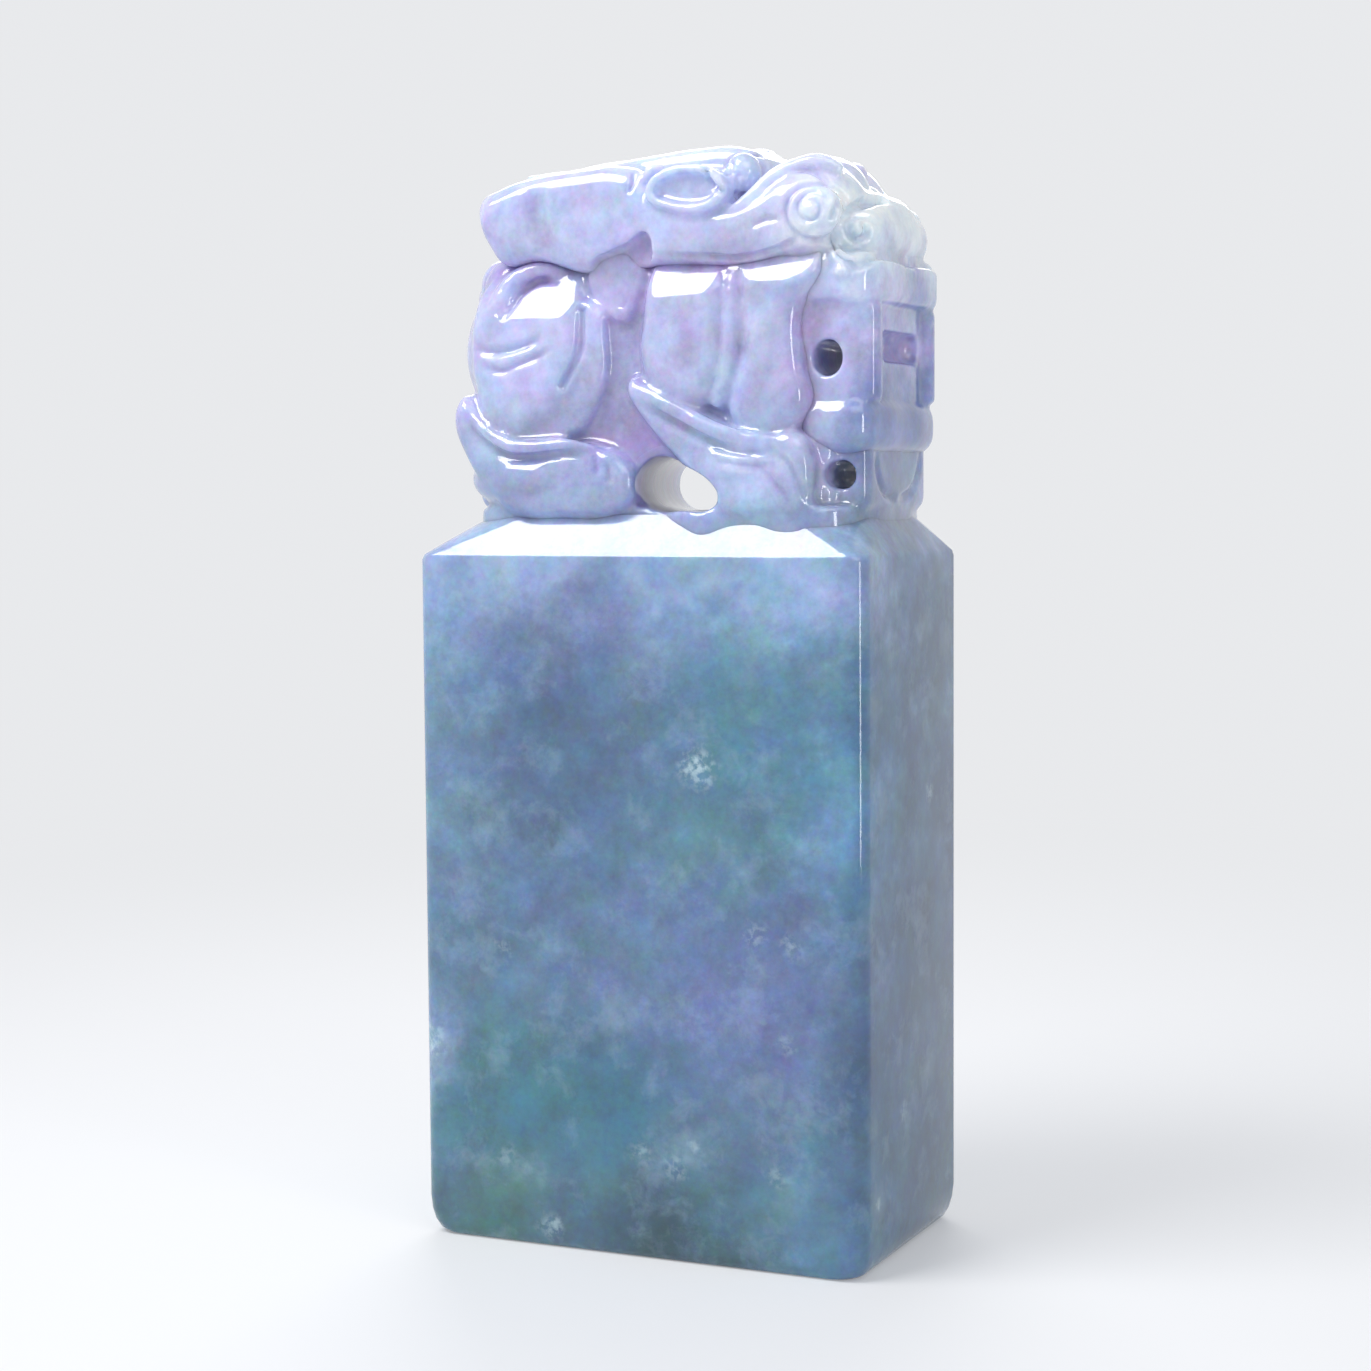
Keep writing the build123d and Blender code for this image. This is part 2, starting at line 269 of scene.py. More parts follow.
# Where a line is drawn, in mm, before it falls on the skin: on the flank (x, z), on the front or the rump
# (y, z), on the top (x, y), or as seen from azimuth 24.7. A line on the flank is carved on both flanks.
lineViews = dict(
    flank=dict(eye=(0, -30, 0), across=(1, 0, 0), upward=(0, 0, 1), heading=(0, 1, 0), sides=(1, -1)),
    quarter=dict(eye=(16.7, -36.4, 0), across=(0.909, 0.418, 0), upward=(0, 0, 1),
                 heading=(-0.418, 0.909, 0), sides=(1, -1)),
    front=dict(eye=(40, 0, 0), across=(0, 1, 0), upward=(0, 0, 1), heading=(-1, 0, 0), sides=(1,)),
    rump=dict(eye=(-40, 0, 0), across=(0, 1, 0), upward=(0, 0, 1), heading=(1, 0, 0), sides=(1,)),
    top=dict(eye=(0, 0, 90), across=(1, 0, 0), upward=(0, 1, 0), heading=(0, 0, -1), sides=(1,)),
)


# The places on the skin under a line
def fallOnSkin(tree, view, places):
    hits = []
    for a, b in smoothRun(places):
        start = Vector(view["eye"]) + Vector(view["across"]) * a + Vector(view["upward"]) * b
        hit = tree.ray_cast(start, Vector(view["heading"]))[0]
        if hit is not None:
            hits.append(hit)
    return np.array(hits)


# A line thins out at its ends unless it is closed, and a blunt one does so late
def endFade(count, line):
    if line.get("closed"):
        return np.ones(count)
    toEnd = np.minimum(np.arange(count), np.arange(count)[::-1])
    fade = np.clip(toEnd / (shaping["lineFade"] * count), 0, 1)
    if line.get("blunt"):
        fade = np.clip(fade * shaping["bluntFactor"], 0, 1)
    return fade


# Presses lines into the skin
def carveLines(piece, lines):
    mesh = piece.data
    count = len(mesh.vertices)
    places = np.zeros(count * 3)
    mesh.vertices.foreach_get("co", places)
    places = places.reshape(-1, 3) / mm
    normals = np.zeros(count * 3)
    mesh.vertices.foreach_get("normal", normals)
    normals = normals.reshape(-1, 3)
    tree = BVHTree.FromPolygons([Vector(p) for p in places], [p.vertices for p in mesh.polygons])
    sunk = np.zeros(count)
    for line in lines:
        view = lineViews[line["view"]]
        hits = fallOnSkin(tree, view, line["places"])
        if len(hits) < 2:
            print("note: no skin under a line at", line["places"][0])
            continue
        fade = endFade(len(hits), line)
        for side in (1, -1) if line.get("both") else view["sides"]:
            run = hits * (1, side, 1)
            low = run.min(0) - line["width"]
            high = run.max(0) + line["width"]
            near = np.nonzero(((places > low) & (places < high)).all(1))[0]
            if not len(near):
                continue
            away = np.linalg.norm(places[near][:, None, :] - run[None], axis=2)
            closest = away.argmin(1)
            away = away[np.arange(len(near)), closest] / line["width"]
            push = line["depth"] * fade[closest] * np.clip(1 - away ** 2, 0, 1) ** 2
            sunk[near] = np.maximum(push, sunk[near])
    places -= normals * sunk[:, None]
    mesh.vertices.foreach_set("co", (places * mm).ravel())
    mesh.update()


# The block: upright loops bridged into crisp faces, a rounded foot and a hipped shoulder
block = dict(
    # Height, inset from the sides, inset at the rump end, inset at the front end, corner radius
    loops=[
        (0, 0.45, 0.95, 0.95, 1.5), (0.08, 0.25, 0.72, 0.72, 1.4), (0.3, 0.1, 0.46, 0.46, 1.25),
        (0.75, 0.02, 0.24, 0.24, 1.1), (1.35, 0.0, 0.09, 0.09, 1.0), (2.1, 0.0, 0.0, 0.0, 1.0),
        (20, 0.0, 0.0, 0.0, 1.0), (37.85, 0.0, 0.0, 0.0, 1.0), (38.15, 0.06, 0.08, 0.05, 1.1),
        (38.35, 0.2, 0.32, 0.18, 1.3), (38.8, 0.46, 0.85, 0.42, 1.9), (39.3, 0.75, 1.45, 0.7, 2.6),
        (39.8, 1.04, 2.05, 0.98, 3.3), (40.3, 1.33, 2.65, 1.26, 4.0)],
    cornerSegments=9,
)


def addPlanLoop(width, depth, middleX, height, radius):
    bpy.ops.object.select_all(action="DESELECT")
    bpy.ops.mesh.primitive_plane_add(size=1)
    loop = activePiece()
    loop.scale = (width * mm, depth * mm, 1)
    loop.location = (middleX * mm, 0, height * mm)
    settlePlace(loop)
    editAll(lambda: bpy.ops.mesh.bevel(affect="VERTICES", offset=radius * mm,
                                       segments=block["cornerSegments"]))
    return loop


# Bridges the loops into walls and closes the two ends
def bridgeLoops():
    bpy.ops.mesh.delete(type="ONLY_FACE")
    bpy.ops.mesh.select_all(action="SELECT")
    bpy.ops.mesh.bridge_edge_loops()
    bpy.ops.mesh.select_all(action="DESELECT")
    bpy.ops.mesh.select_non_manifold()
    bpy.ops.mesh.edge_face_add()
    bpy.ops.mesh.select_all(action="SELECT")


def makeBlock():
    low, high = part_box("seal_block")
    width = (high.x - low.x) / mm
    depth = (high.y - low.y) / mm
    stack = []
    for height, sideInset, rumpInset, frontInset, radius in block["loops"]:
        stack.append(addPlanLoop(width - rumpInset - frontInset, depth - 2 * sideInset,
                                 (rumpInset - frontInset) / 2, height, radius))
    piece = joinPieces(stack, "jadeBlock")
    editAll(bridgeLoops, faceOutwards)
    return piece


jadeBlock = makeBlock()
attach(jadeBlock, "root")
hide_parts("seal_block")
print("stage: block made,", len(jadeBlock.data.polygons), "faces")

# The body: trunk, legs, neck, tail and beard on a low wavy ledge
beastBody = dict(
    nodes=[
        "trunk", "tail", "right_hind_leg", "left_hind_leg", "right_fore_leg", "left_fore_leg", "neck",
        "beard"],
    # Solids that are taken over as they are packed
    kept=["tail", "beard"],
    # Boxes with soft edges, between two corners
    pillows=[
        dict(low=(-10.4, -5.75, 40.4), high=(9.2, 5.75, 54.6), rounding=1.9),
        dict(low=(4.0, -5.5, 40.4), high=(10.8, 5.5, 45.2), rounding=1.0),
        dict(low=(-11.6, -3.7, 40.4), high=(0, 3.7, 54.6), rounding=1.5),
        dict(low=(-12.1, -2.8, 40.4), high=(0, 2.8, 53.6), rounding=1.1),
        dict(low=(9.0, -4.7, 40.4), high=(12.4, 4.7, 44.6), rounding=0.7)],
    # Outlines on the flank (x, z), from the inner to the outer depth
    haunch=dict(
        inner=3.0, outer=7.05, rounding=1.6,
        outline=[
            (-10.2, 47.4), (-10.4, 49.3), (-10.1, 51.6), (-8.9, 53.4), (-6.8, 54.1), (-4.6, 53.8),
            (-3.5, 52.4), (-3.0, 50.2), (-3.1, 48.2), (-4.0, 46.0), (-6.2, 44.4), (-9.0, 44.6)]),
    shoulder=dict(
        inner=3.0, outer=6.9, rounding=1.2,
        outline=[
            (0.1, 50.6), (0.0, 48.6), (0.7, 46.8), (2.0, 46.0), (3.6, 45.9), (4.5, 46.8), (4.9, 48.5),
            (5.0, 50.5), (4.95, 52.6), (4.5, 53.6), (2.8, 54.0), (1.2, 54.0), (0.5, 52.8)]),
    neck=dict(
        inner=2.6, outer=6.75, rounding=1.2,
        outline=[
            (5.9, 53.9), (5.75, 51.2), (5.7, 48.8), (5.1, 46.9), (5.1, 45.4), (6.3, 44.4), (8.4, 44.5),
            (9.6, 46.0), (9.3, 48.2), (9.3, 51.0), (10.4, 53.4), (9.6, 54.6), (8.0, 54.6)]),
    haunchRim=dict(
        inner=3.6, outer=6.55, rounding=0.4,
        outline=[
            (-5.5, 51.4), (-3.6, 51.8), (-2.5, 51.5), (-2.0, 49.5), (-2.1, 47.4), (-2.9, 45.6),
            (-4.6, 44.3), (-7.2, 44.4), (-8.0, 49.0)]),
    hindFoot=dict(
        inner=3.6, outer=6.95, rounding=1.0,
        outline=[
            (-11.35, 45.4), (-11.1, 46.5), (-10.5, 46.95), (-9.9, 46.4), (-9.1, 45.2), (-7.7, 44.3),
            (-6.0, 44.0), (-4.2, 44.2), (-2.4, 44.1), (-0.9, 43.4), (-0.25, 42.3), (-0.45, 41.1),
            (-1.6, 40.3), (-4.5, 40.1), (-7.6, 40.3), (-9.4, 41.7), (-10.7, 43.6)]),
    foreFoot=dict(
        inner=3.6, outer=6.95, rounding=0.9,
        outline=[
            (-0.75, 47.0), (-0.4, 47.7), (0.5, 47.35), (2.0, 46.6), (3.6, 45.8), (5.3, 44.95), (7.2, 44.6),
            (9.2, 44.6), (9.9, 43.3), (9.95, 41.6), (9.6, 40.3), (7.2, 40.1), (5.0, 40.2), (3.6, 41.8),
            (2.2, 43.2), (0.7, 44.8), (-0.25, 46.0)]),
    disc=dict(
        inner=4.0, outer=6.15, rounding=0.35,
        outline=[
            (-3.2, 53.0), (-2.7, 54.2), (-1.5, 54.7), (-0.3, 54.2), (0.2, 53.0), (-0.3, 51.8), (-1.5, 51.3),
            (-2.7, 51.8)]),
    # Swellings of the haunch, the shoulder and the neck, and of the feet
    masses=[
        dict(centre=(-7.3, -2.9, 49.2), radii=(4.5, 4.35, 4.7)),
        dict(centre=(2.5, -3.4, 49.6), radii=(2.4, 3.8, 3.9)),
        dict(centre=(7.3, -3.2, 49.2), radii=(2.0, 3.9, 4.7))],
    swellings=[
        dict(centre=(-6.8, -3.9, 42.3), radii=(4.4, 3.4, 2.0)),
        dict(centre=(5.6, -3.9, 43.0), radii=(3.6, 3.4, 2.0))],
    # The slant that cuts the three masses at the top
    facetHeights=[50.6, 51.3, 51.6],
    facetSide=7.15,
    facetSlope=(0, -0.866, 0.5),
    # Rolled edges along the feet, the band before the neck, and the curls on the haunch
    rolls=[
        dict(places=[
                 (-10.7, -6.4, 46.6), (-9.4, -6.75, 45.1), (-7.9, -6.85, 44.2), (-6.2, -6.9, 43.95),
                 (-4.3, -6.85, 44.1), (-2.6, -6.6, 43.9)],
             radii=[0.3, 0.42, 0.45, 0.45, 0.4, 0.2]),
        dict(places=[
                 (-0.4, -6.5, 47.3), (1.5, -6.8, 46.3), (3.1, -6.85, 45.5), (4.9, -6.9, 44.7),
                 (6.7, -6.8, 44.2), (9.3, -6.4, 44.1)],
             radii=[0.25, 0.4, 0.45, 0.45, 0.42, 0.25]),
        dict(places=[
                 (5.35, -5.6, 53.6), (5.35, -6.15, 51.5), (5.35, -6.25, 49.8), (5.15, -6.25, 48.2),
                 (4.8, -6.2, 46.9), (4.3, -6.1, 46.0)],
             radii=[0.5, 0.5, 0.5, 0.5, 0.5, 0.4]),
        dict(places=[
                 (-3.3, -5.5, 52.2), (-2.6, -5.75, 51.6), (-1.7, -5.9, 51.3), (-1.1, -5.9, 51.0),
                 (-0.5, -5.7, 51.8), (0.1, -5.4, 52.4)],
             radii=[0.25, 0.35, 0.4, 0.45, 0.35, 0.2]),
        dict(places=[
                 (-4.7, -5.5, 53.5), (-6.2, -5.75, 53.6), (-7.5, -5.9, 53.1), (-8.3, -6.2, 52.0),
                 (-8.6, -6.55, 50.9), (-8.2, -6.7, 50.5)],
             radii=[0.3, 0.5, 0.6, 0.6, 0.5, 0.3])],
    # Half the plan (x, y) of the ground under the feet
    ledge=dict(
        bottom=38.6, top=40.75, rounding=0.3,
        outline=[
            (-10.9, -2.6), (-10.4, -4.9), (-9.0, -5.9), (-7.2, -6.05), (-5.4, -5.95), (-3.6, -6.15),
            (-2.0, -6.05), (-0.4, -6.0), (1.0, -6.1), (2.4, -6.5), (3.8, -6.8), (5.2, -6.55), (6.8, -6.5),
            (8.2, -6.7), (9.6, -6.6), (11.2, -5.8), (12.0, -3.6), (12.2, 0)]),
    # Cut away at the end: the hole in the beard and the slanted hollow under the belly
    beardHole=dict(
        inner=-8, outer=8, rounding=0.02,
        outline=[
            (10.2, 42.35), (10.4, 42.9), (10.95, 43.1), (11.5, 42.9), (11.7, 42.35), (11.5, 41.8),
            (10.95, 41.6), (10.4, 41.8)]),
    hollow=dict(
        inner=-20, outer=20, rounding=0.01,
        outline=[
            (-0.09, 41.94), (0.35, 43.0), (1.4, 43.42), (2.6, 43.0), (4.6, 41.65), (4.72, 41.1),
            (4.2, 40.55), (2.6, 40.5), (1.2, 40.47), (0.3, 40.9)]),
    hollowPivot=7.3,
    hollowTurn=14.2,
    # Fineness of the skin in mm, and passes of polish
    voxel=0.155,
    polish=6,
    lines=[
        dict(view="flank", width=0.42, depth=0.3,
             places=[(-9.9, 49.5), (-8.7, 49.2), (-7.4, 49.25), (-6.2, 49.6), (-5.4, 50.0)]),
        dict(view="flank", width=0.36, depth=0.22,
             places=[(-9.2, 48.6), (-8.1, 48.15), (-6.8, 48.5), (-5.6, 48.95), (-4.8, 49.4)]),
        dict(view="flank", width=0.34, depth=0.28,
             places=[(-4.9, 52.9), (-6.1, 53.0), (-7.1, 52.4), (-7.7, 51.3), (-7.9, 50.7)]),
        dict(view="flank", width=0.36, depth=0.26, blunt=True,
             places=[(-3.3, 51.6), (-3.35, 49.7), (-3.7, 48.5), (-4.5, 47.0)]),
        dict(view="flank", width=0.42, depth=0.25,
             places=[(-10.3, 45.7), (-9.2, 44.4), (-7.7, 43.5), (-5.8, 43.45), (-4.2, 43.6), (-2.7, 43.4)]),
        dict(view="flank", width=0.3, depth=0.18, places=[(-2.55, 43.6), (-2.4, 43.0), (-2.35, 42.3)]),
        dict(view="flank", width=0.3, depth=0.18, places=[(-1.75, 43.2), (-1.6, 42.6), (-1.6, 42.0)]),
        dict(view="flank", width=0.4, depth=0.25,
             places=[(-0.2, 46.6), (1.0, 45.8), (2.8, 44.9), (4.4, 44.1), (6.0, 43.6), (8.4, 43.5)]),
        dict(view="flank", width=0.34, depth=0.2,
             places=[(4.6, 43.3), (5.8, 42.95), (7.0, 42.8), (8.2, 42.8)]),
        dict(view="flank", width=0.36, depth=0.2,
             places=[(6.6, 43.2), (7.6, 42.4), (8.4, 41.5), (9.1, 40.6)]),
        dict(view="flank", width=0.34, depth=0.2,
             places=[(8.2, 43.6), (8.9, 42.8), (9.4, 41.9), (9.8, 41.0)]),
        dict(view="front", width=0.4, depth=0.22, both=True,
             places=[(-3.4, 43.6), (-3.1, 42.4), (-2.0, 41.4), (0, 41.0)]),
        dict(view="rump", width=0.45, depth=0.22,
             places=[(0.1, 44.4), (-0.1, 47.0), (0.1, 49.6), (0, 51.9)]),
        dict(view="rump", width=0.45, depth=0.2, both=True,
             places=[(1.5, 44.8), (1.3, 47.2), (1.2, 49.4), (0.7, 51.5)])],
)


# The slanted drop-shaped hollow, turned about an upright line on the right flank
def hollowCutter():
    cutter = outlineForm("hollowCutter", **beastBody["hollow"])
    cutter.location = (0, beastBody["hollowPivot"] * mm, 0)
    settlePlace(cutter)
    cutter.rotation_euler = (0, 0, math.radians(beastBody["hollowTurn"]))
    settlePlace(cutter)
    cutter.location = (0, -beastBody["hollowPivot"] * mm, 0)
    settlePlace(cutter)
    return cutter


# Cuts the top of a mass to the slant that catches the light
def slantTop(form, height):
    selectOnly(form)
    place = (0, -beastBody["facetSide"] * mm, height * mm)
    editAll(lambda: bpy.ops.mesh.bisect(plane_co=place, plane_no=beastBody["facetSlope"], use_fill=True,
                                        clear_outer=True))
    return form


def makeBeastBody():
    forms = [roughOut(name) for name in beastBody["kept"]]
    flank = []
    names = ("haunch", "shoulder", "neck")
    for name, mass, height in zip(names, beastBody["masses"], beastBody["facetHeights"]):
        flank.append(slantTop(outlineForm(name, **beastBody[name]), height))
        flank.append(slantTop(swelling(name, **mass), height))
    for name in ("haunchRim", "hindFoot", "foreFoot", "disc"):
        flank.append(outlineForm(name, **beastBody[name]))
    flank += [swelling("foot", **form) for form in beastBody["swellings"]]
    flank += [taperedBar("roll", **form) for form in beastBody["rolls"]]
    forms += flank + [mirrored(form) for form in flank]
    forms.append(planForm("ledge", **beastBody["ledge"]))
    forms += [pillow(**form) for form in beastBody["pillows"]]
    piece = joinPieces(forms, "beastBody")
    growSkin(piece, beastBody["voxel"], 1)
    cutWith(piece, hollowCutter())
    cutWith(piece, outlineForm("beardHole", **beastBody["beardHole"]))
    growSkin(piece, beastBody["voxel"], beastBody["polish"])
    carveLines(piece, beastBody["lines"])
    return piece


body = makeBeastBody()
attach(body, "root")
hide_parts(*beastBody["nodes"])
print("stage: body made,", len(body.data.polygons), "faces")

# The head and the mane
beastHead = dict(
    nodes=[
        "mane", "hair_knot", "skull", "brow", "right_eye", "left_eye", "right_ear", "left_ear", "nose",
        "lip", "mouth", "right_fang", "left_fang", "jaw"],
    kept=["hair_knot", "right_fang", "left_fang"],
    mane=dict(
        inner=2.5, outer=6.95, rounding=1.25,
        outline=[
            (-8.2, 53.9), (-9.1, 54.9), (-9.7, 56.2), (-9.6, 57.4), (-8.3, 58.1), (-6.2, 58.6),
            (-3.5, 58.85), (-1.0, 58.9), (0.3, 58.4), (1.0, 57.4), (3.0, 56.9), (5.2, 56.6), (6.4, 56.9),
            (8.5, 57.8), (10.6, 57.4), (11.1, 56.2), (10.3, 54.7), (8.1, 53.75), (5.8, 53.3), (3.9, 53.4),
            (1.3, 53.5), (-1.5, 53.3), (-3.4, 53.3), (-6.0, 54.0)]),
    maneMiddle=dict(
        inner=-4.3, outer=4.3, rounding=0.9,
        outline=[
            (-8.2, 54.4), (-10.4, 55.8), (-10.8, 57.3), (-9.2, 58.3), (-6.2, 58.9), (-3.5, 59.3),
            (0.0, 59.7), (2.6, 59.9), (4.9, 59.8), (6.0, 59.2), (6.4, 57.8), (6.6, 55.6), (6.0, 54.3),
            (0.0, 54.0)]),
    ear=dict(
        inner=3.5, outer=7.35, rounding=0.25,
        outline=[
            (0.85, 57.0), (1.0, 57.85), (1.8, 58.4), (3.2, 58.6), (4.75, 58.3), (5.4, 57.6), (5.3, 56.7),
            (4.5, 56.2), (3.2, 56.1), (1.8, 56.45)]),
    earDish=dict(
        inner=6.75, outer=8.4, rounding=0.25,
        outline=[
            (1.35, 57.1), (1.5, 57.7), (2.1, 58.05), (3.2, 58.2), (4.5, 57.95), (4.9, 57.45), (4.8, 56.95),
            (4.3, 56.65), (3.2, 56.55), (2.0, 56.8)]),
    mouthHole=dict(
        inner=-8, outer=8, rounding=0.02,
        outline=[
            (9.54, 48.45), (9.78, 49.15), (10.36, 49.4), (10.94, 49.15), (11.18, 48.45), (10.94, 47.75),
            (10.36, 47.5), (9.78, 47.75)]),
    # The drop-shaped pit on each flank, between the haunch and the shoulder
    pit=dict(
        inner=6.1, outer=8.6, rounding=0.35,
        outline=[
            (-2.95, 52.9), (-2.6, 53.9), (-1.6, 54.35), (-0.4, 54.8), (0.5, 55.3), (1.0, 54.7),
            (0.75, 53.7), (0.1, 52.5), (-0.5, 51.7), (-1.5, 51.4), (-2.5, 51.8)]),
    mouthSlot=dict(low=(11.5, -2.8, 48.3), high=(13.8, 3.0, 49.95), rounding=0.8),
    # The forehead, its far half set back, and the swellings along its middle
    domes=[
        dict(centre=(8.9, -3.6, 55.9), radii=(3.1, 3.5, 3.0)),
        dict(centre=(7.8, 3.6, 55.7), radii=(3.0, 3.5, 3.0))],
    middles=[
        dict(centre=(9.15, -2.0, 57.05), radii=(2.25, 2.8, 2.2)),
        dict(centre=(8.5, 2.0, 57.05), radii=(2.2, 2.8, 2.2)),
        dict(centre=(9.9, 0, 58.3), radii=(0.75, 0.8, 0.8)),
        dict(centre=(10.8, 0, 57.35), radii=(0.5, 0.6, 0.42))],
    # The near and the far brow
    brows=[
        dict(places=[
                 (4.6, -6.5, 56.15), (5.6, -6.45, 56.2), (6.6, -6.4, 56.8), (7.6, -6.1, 57.7),
                 (8.8, -5.6, 58.3), (10.1, -5.3, 58.5), (11.1, -4.9, 58.0)],
             radii=[0.25, 0.35, 0.4, 0.45, 0.5, 0.5, 0.4]),
        dict(places=[
                 (4.6, 6.5, 56.15), (5.6, 6.45, 56.2), (6.4, 6.4, 56.9), (7.1, 6.1, 57.7), (7.9, 5.6, 58.2),
                 (8.8, 5.3, 58.2), (9.7, 4.9, 57.5)],
             radii=[0.25, 0.35, 0.4, 0.45, 0.5, 0.5, 0.4])],
    # Eye, pupil, cheek, lip corner, knot curl and mane tuft, on both flanks
    swellings=[
        dict(centre=(10.2, -6.2, 55.9), radii=(1.4, 0.9, 1.35)),
        dict(centre=(10.2, -6.9, 55.9), radii=(0.42, 0.3, 0.42)),
        dict(centre=(9.0, -4.2, 50.5), radii=(1.2, 1.6, 3.0)),
        dict(centre=(11.45, -5.75, 52.85), radii=(0.5, 0.6, 0.4)),
        dict(centre=(5.55, -4.9, 58.25), radii=(0.95, 1.0, 1.1)),
        dict(centre=(-0.9, -5.6, 58.0), radii=(0.75, 0.6, 0.75))],
    rolls=[
        dict(places=[(0.4, -6.3, 57.9), (0.75, -6.2, 58.5), (1.4, -5.9, 58.8)], radii=[0.2, 0.35, 0.2]),
        dict(places=[(10.9, -5.6, 54.2), (11.3, -5.95, 53.6), (12.2, -5.75, 53.3)], radii=[0.25, 0.35, 0.2])],
    pillows=[dict(low=(7.5, -5.9, 52.0), high=(10.6, 5.9, 56.6), rounding=1.0)],
    # Half plans (x, y) of the lip, the mouth, the jaw, the lower and the upper nose
    plans=[
        dict(bottom=51.3, top=53.9, rounding=0.6,
             outline=[(9.0, -5.7), (10.4, -5.85), (11.8, -5.75), (12.75, -5.1), (13.1, -3.5), (13.15, 0)]),
        dict(bottom=45.4, top=52.4, rounding=0.25,
             outline=[(8.2, -5.2), (9.9, -5.3), (11.3, -5.25), (12.15, -4.75), (12.45, -3.4), (12.5, 0)]),
        dict(bottom=43.4, top=46.5, rounding=1.2,
             outline=[(9.0, -5.5), (10.4, -5.65), (11.7, -5.6), (12.6, -4.95), (12.93, -3.5), (12.97, 0)]),
        dict(bottom=53.6, top=56.5, rounding=1.35,
             outline=[(9.2, -5.3), (10.6, -5.5), (11.7, -5.2), (12.55, -4.2), (12.95, -2.4), (13.05, 0)]),
        dict(bottom=54.0, top=57.3, rounding=1.5,
             outline=[(9.2, -3.9), (10.5, -4.1), (11.6, -3.8), (12.4, -2.9), (12.75, -1.6), (12.85, 0)])],
    voxel=0.134,
    polish=6,
    lines=[
        dict(view="flank", width=0.9, depth=0.3,
             places=[(-5.9, 58.0), (-5.8, 56.4), (-5.5, 55.2), (-4.9, 54.6), (-3.3, 53.9)]),
        dict(view="flank", width=0.3, depth=0.18, places=[(-6.2, 54.6), (-4.8, 54.4), (-3.4, 54.0)]),
        dict(view="flank", width=0.32, depth=0.2,
             places=[
                 (1.3, 54.1), (2.8, 53.95), (4.6, 53.8), (6.0, 53.7), (7.8, 54.0), (9.6, 54.7),
                 (10.9, 55.3)]),
        dict(view="flank", width=0.28, depth=0.26, closed=True, places=spiral((10.2, 55.9), 1.45, 1.45, 1)),
        dict(view="flank", width=0.28, depth=0.3, closed=True, places=spiral((5.55, 58.25), 1.15, 1.15, 1)),
        dict(view="flank", width=0.24, depth=0.2, places=spiral((10.15, 56.0), 0.95, 0.35, 1.4)),
        dict(view="flank", width=0.3, depth=0.2,
             places=[(8.6, 58.0), (9.6, 58.1), (10.5, 57.6), (11.1, 56.9)]),
        dict(view="flank", width=0.3, depth=0.15, places=[(6.7, 55.2), (7.6, 55.55), (8.6, 55.6)]),
        dict(view="flank", width=0.34, depth=0.24, places=[(11.3, 57.0), (11.5, 56.2), (11.2, 55.3)]),
        dict(view="flank", width=0.25, depth=0.25, places=[(-0.2, 58.6), (-0.05, 57.9), (-0.4, 57.3)]),
        dict(view="flank", width=0.22, depth=0.15, places=[(5.1, 59.0), (5.4, 58.2), (6.1, 58.0)]),
        dict(view="flank", width=0.22, depth=0.15, places=[(4.8, 58.0), (5.4, 58.2), (5.6, 57.5)]),
        dict(view="quarter", width=0.36, depth=0.4, places=spiral((9.0, 55.05), 0.85, 0.25, 1.3)),
        dict(view="quarter", width=0.45, depth=0.45, blunt=True,
             places=[(7.45, 53.9), (7.7, 54.8), (8.1, 55.6), (8.8, 56.25), (9.7, 56.7), (10.6, 56.9)]),
        dict(view="quarter", width=0.4, depth=0.38, blunt=True,
             places=[
                 (7.5, 54.0), (8.05, 53.5), (8.7, 53.15), (9.4, 53.4), (10.1, 53.75), (11.3, 53.7),
                 (12.4, 53.55)]),
        dict(view="front", width=0.38, depth=0.3, both=True,
             places=[(-3.0, 53.7), (-1.5, 53.75), (0, 53.75)]),
        dict(view="top", width=0.5, depth=0.22, places=[(-10.3, 0.1), (-7.0, -0.15), (-3.0, 0.1), (1.2, 0)]),
        dict(view="top", width=0.5, depth=0.2, both=True,
             places=[(-9.9, 2.3), (-6.6, 2.0), (-2.8, 2.3), (0.9, 1.8)])],
)


def makeBeastHead():
    forms = [roughOut(name) for name in beastHead["kept"]]
    ear = outlineForm("ear", **beastHead["ear"])
    cutWith(ear, outlineForm("earDish", **beastHead["earDish"]))
    flank = [ear, outlineForm("mane", **beastHead["mane"])]
    flank += [swelling("swelling", **form) for form in beastHead["swellings"]]
    flank += [taperedBar("roll", **form) for form in beastHead["rolls"]]
    forms += flank + [mirrored(form) for form in flank]
    forms.append(outlineForm("maneMiddle", **beastHead["maneMiddle"]))
    forms += [pillow(**form) for form in beastHead["pillows"]]
    forms += [swelling("forehead", **form) for form in beastHead["domes"] + beastHead["middles"]]
    forms += [taperedBar("brow", **form) for form in beastHead["brows"]]
    forms += [planForm("face", **form) for form in beastHead["plans"]]
    piece = joinPieces(forms, "beastHead")
    growSkin(piece, beastHead["voxel"], 1)
    pit = outlineForm("pit", **beastHead["pit"])
    otherPit = mirrored(pit)
    for cutter in (pit, otherPit, outlineForm("mouthHole", **beastHead["mouthHole"]),
                   pillow(**beastHead["mouthSlot"])):
        cutWith(piece, cutter)
    growSkin(piece, beastHead["voxel"], beastHead["polish"])
    carveLines(piece, beastHead["lines"])
    return piece


head = makeBeastHead()
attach(head, "root")
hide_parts(*beastHead["nodes"])
print("stage: head made,", len(head.data.polygons), "faces")

